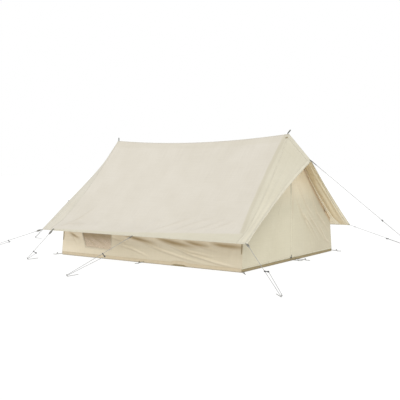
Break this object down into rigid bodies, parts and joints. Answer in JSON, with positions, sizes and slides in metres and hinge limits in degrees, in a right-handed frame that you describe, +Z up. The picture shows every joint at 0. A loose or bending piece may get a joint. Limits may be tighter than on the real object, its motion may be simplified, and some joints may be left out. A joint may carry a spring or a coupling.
{
  "type": "family tent",
  "caption": "Canvas ridge tent on two upright poles, with a hood at each end, upright side walls, a zipped door, windows and guy lines.",
  "frame": {"origin": "middle of the floor's underside, on the ground", "axes": "+X along the ridge to the front, where the door is; +Y to the far side; +Z up"},
  "size_m": [6.7828, 4.6754, 1.5984],
  "materials": {
    "canvas": "plain woven cotton canvas, cream",
    "groundsheet": "coated cloth, brown",
    "net": "fine insect net, brown",
    "toggle": "dark turned wood",
    "plastic": "moulded, near black",
    "zip_tape": "nylon coil and tape, beige",
    "zip_metal": "black lacquer",
    "rubber": "matte",
    "pole": "zinc-plated tube",
    "rope": "braided cord, grey",
    "peg": "zinc-plated rod"
  },
  "bodies": {
    "tent": {"groundsheet": "groundsheet", "roof_near": "canvas", "roof_far": "canvas", "front_hood": "canvas", "rear_hood": "canvas", "side_wall_near": "canvas", "side_wall_far": "canvas", "rear_wall": "canvas", "front_wall_near": "canvas", "front_wall_far": "canvas", "door_toggle_near": "toggle", "door_toggle_far": "toggle", "window_mesh_near": "net", "window_mesh_far": "net", "front_pole_foot": "rubber", "front_pole_lower": "pole", "front_pole_upper": "pole", "front_pole_spike": "pole", "rear_pole_foot": "rubber", "rear_pole_lower": "pole", "rear_pole_upper": "pole", "rear_pole_spike": "pole", "guy_front_near_rope": "rope", "guy_front_far_rope": "rope", "guy_rear_near_rope": "rope", "guy_rear_far_rope": "rope", "guy_middle_near_rope": "rope", "guy_middle_far_rope": "rope", "guy_side_near_rope": "rope", "guy_side_far_rope": "rope", "guy_front_beak_rope": "rope", "guy_rear_beak_rope": "rope", "guy_front_near_peg": "peg", "guy_front_far_peg": "peg", "guy_rear_near_peg": "peg", "guy_rear_far_peg": "peg", "guy_middle_near_peg": "peg", "guy_middle_far_peg": "peg", "guy_side_near_peg": "peg", "guy_side_far_peg": "peg", "guy_front_beak_peg": "peg", "guy_rear_beak_peg": "peg"},
    "leaf_near": {"door_leaf_near": "canvas", "zip_chain": "zip_tape"},
    "leaf_far": {"door_leaf_far": "canvas"},
    "slider": {"zip_slider": "zip_metal"},
    "pull": {"zip_pull": "plastic"},
    "flap_near": {"window_flap_near": "canvas"},
    "flap_far": {"window_flap_far": "canvas"},
    "adjuster_front_near": {"guy_front_near_adjuster": "plastic"},
    "adjuster_front_far": {"guy_front_far_adjuster": "plastic"},
    "adjuster_rear_near": {"guy_rear_near_adjuster": "plastic"},
    "adjuster_rear_far": {"guy_rear_far_adjuster": "plastic"},
    "adjuster_middle_near": {"guy_middle_near_adjuster": "plastic"},
    "adjuster_middle_far": {"guy_middle_far_adjuster": "plastic"},
    "adjuster_side_near": {"guy_side_near_adjuster": "plastic"},
    "adjuster_side_far": {"guy_side_far_adjuster": "plastic"},
    "adjuster_front_beak": {"guy_front_beak_adjuster": "plastic"},
    "adjuster_rear_beak": {"guy_rear_beak_adjuster": "plastic"}
  },
  "joints": [
    {"name": "door_near_fold", "type": "hinge", "parent": "tent", "child": "leaf_near", "pos_m": [1.451, -0.55, 0.0353], "axis": [0, -0.3988, -0.917], "range_deg": [0, 150]},
    {"name": "door_far_fold", "type": "hinge", "parent": "tent", "child": "leaf_far", "pos_m": [1.451, 0.55, 0.0353], "axis": [0, -0.3988, 0.917], "range_deg": [0, 150]},
    {"name": "zip_run", "type": "slide", "parent": "leaf_near", "child": "slider", "axis": [0, 0, 1], "range_m": [0, 1.045]},
    {"name": "zip_pull_swing", "type": "hinge", "parent": "slider", "child": "pull", "pos_m": [1.45355, 0, 0.067], "axis": [0, -1, 0], "range_deg": [0, 170]},
    {"name": "window_near_flap", "type": "hinge", "parent": "tent", "child": "flap_near", "pos_m": [-0.826, -1.0522, 0.415], "axis": [1, 0, 0], "range_deg": [0, 120]},
    {"name": "window_far_flap", "type": "hinge", "parent": "tent", "child": "flap_far", "pos_m": [-0.826, 1.0522, 0.415], "axis": [-1, 0, 0], "range_deg": [0, 120]},
    {"name": "tension_front_near", "type": "slide", "parent": "tent", "child": "adjuster_front_near", "axis": [-0.7111, 0.6474, 0.2741], "range_m": [0, 0.12]},
    {"name": "tension_front_far", "type": "slide", "parent": "tent", "child": "adjuster_front_far", "axis": [-0.7011, -0.6235, 0.346], "range_m": [0, 0.12]},
    {"name": "tension_rear_near", "type": "slide", "parent": "tent", "child": "adjuster_rear_near", "axis": [0.4924, 0.8272, 0.2708], "range_m": [0, 0.12]},
    {"name": "tension_rear_far", "type": "slide", "parent": "tent", "child": "adjuster_rear_far", "axis": [0.4787, -0.8352, 0.2708], "range_m": [0, 0.12]},
    {"name": "tension_middle_near", "type": "slide", "parent": "tent", "child": "adjuster_middle_near", "axis": [0.0089, 0.9534, 0.3016], "range_m": [0, 0.12]},
    {"name": "tension_middle_far", "type": "slide", "parent": "tent", "child": "adjuster_middle_far", "axis": [-0.0089, -0.9534, 0.3016], "range_m": [0, 0.12]},
    {"name": "tension_side_near", "type": "slide", "parent": "tent", "child": "adjuster_side_near", "axis": [0.0589, 0.7706, 0.6346], "range_m": [0, 0.12]},
    {"name": "tension_side_far", "type": "slide", "parent": "tent", "child": "adjuster_side_far", "axis": [0.0183, -0.7726, 0.6346], "range_m": [0, 0.12]},
    {"name": "tension_front_beak", "type": "slide", "parent": "tent", "child": "adjuster_front_beak", "axis": [-0.7947, 0.0047, 0.6069], "range_m": [0, 0.12]},
    {"name": "tension_rear_beak", "type": "slide", "parent": "tent", "child": "adjuster_rear_beak", "axis": [0.8192, -0.0521, 0.5712], "range_m": [0, 0.12]}
  ]
}
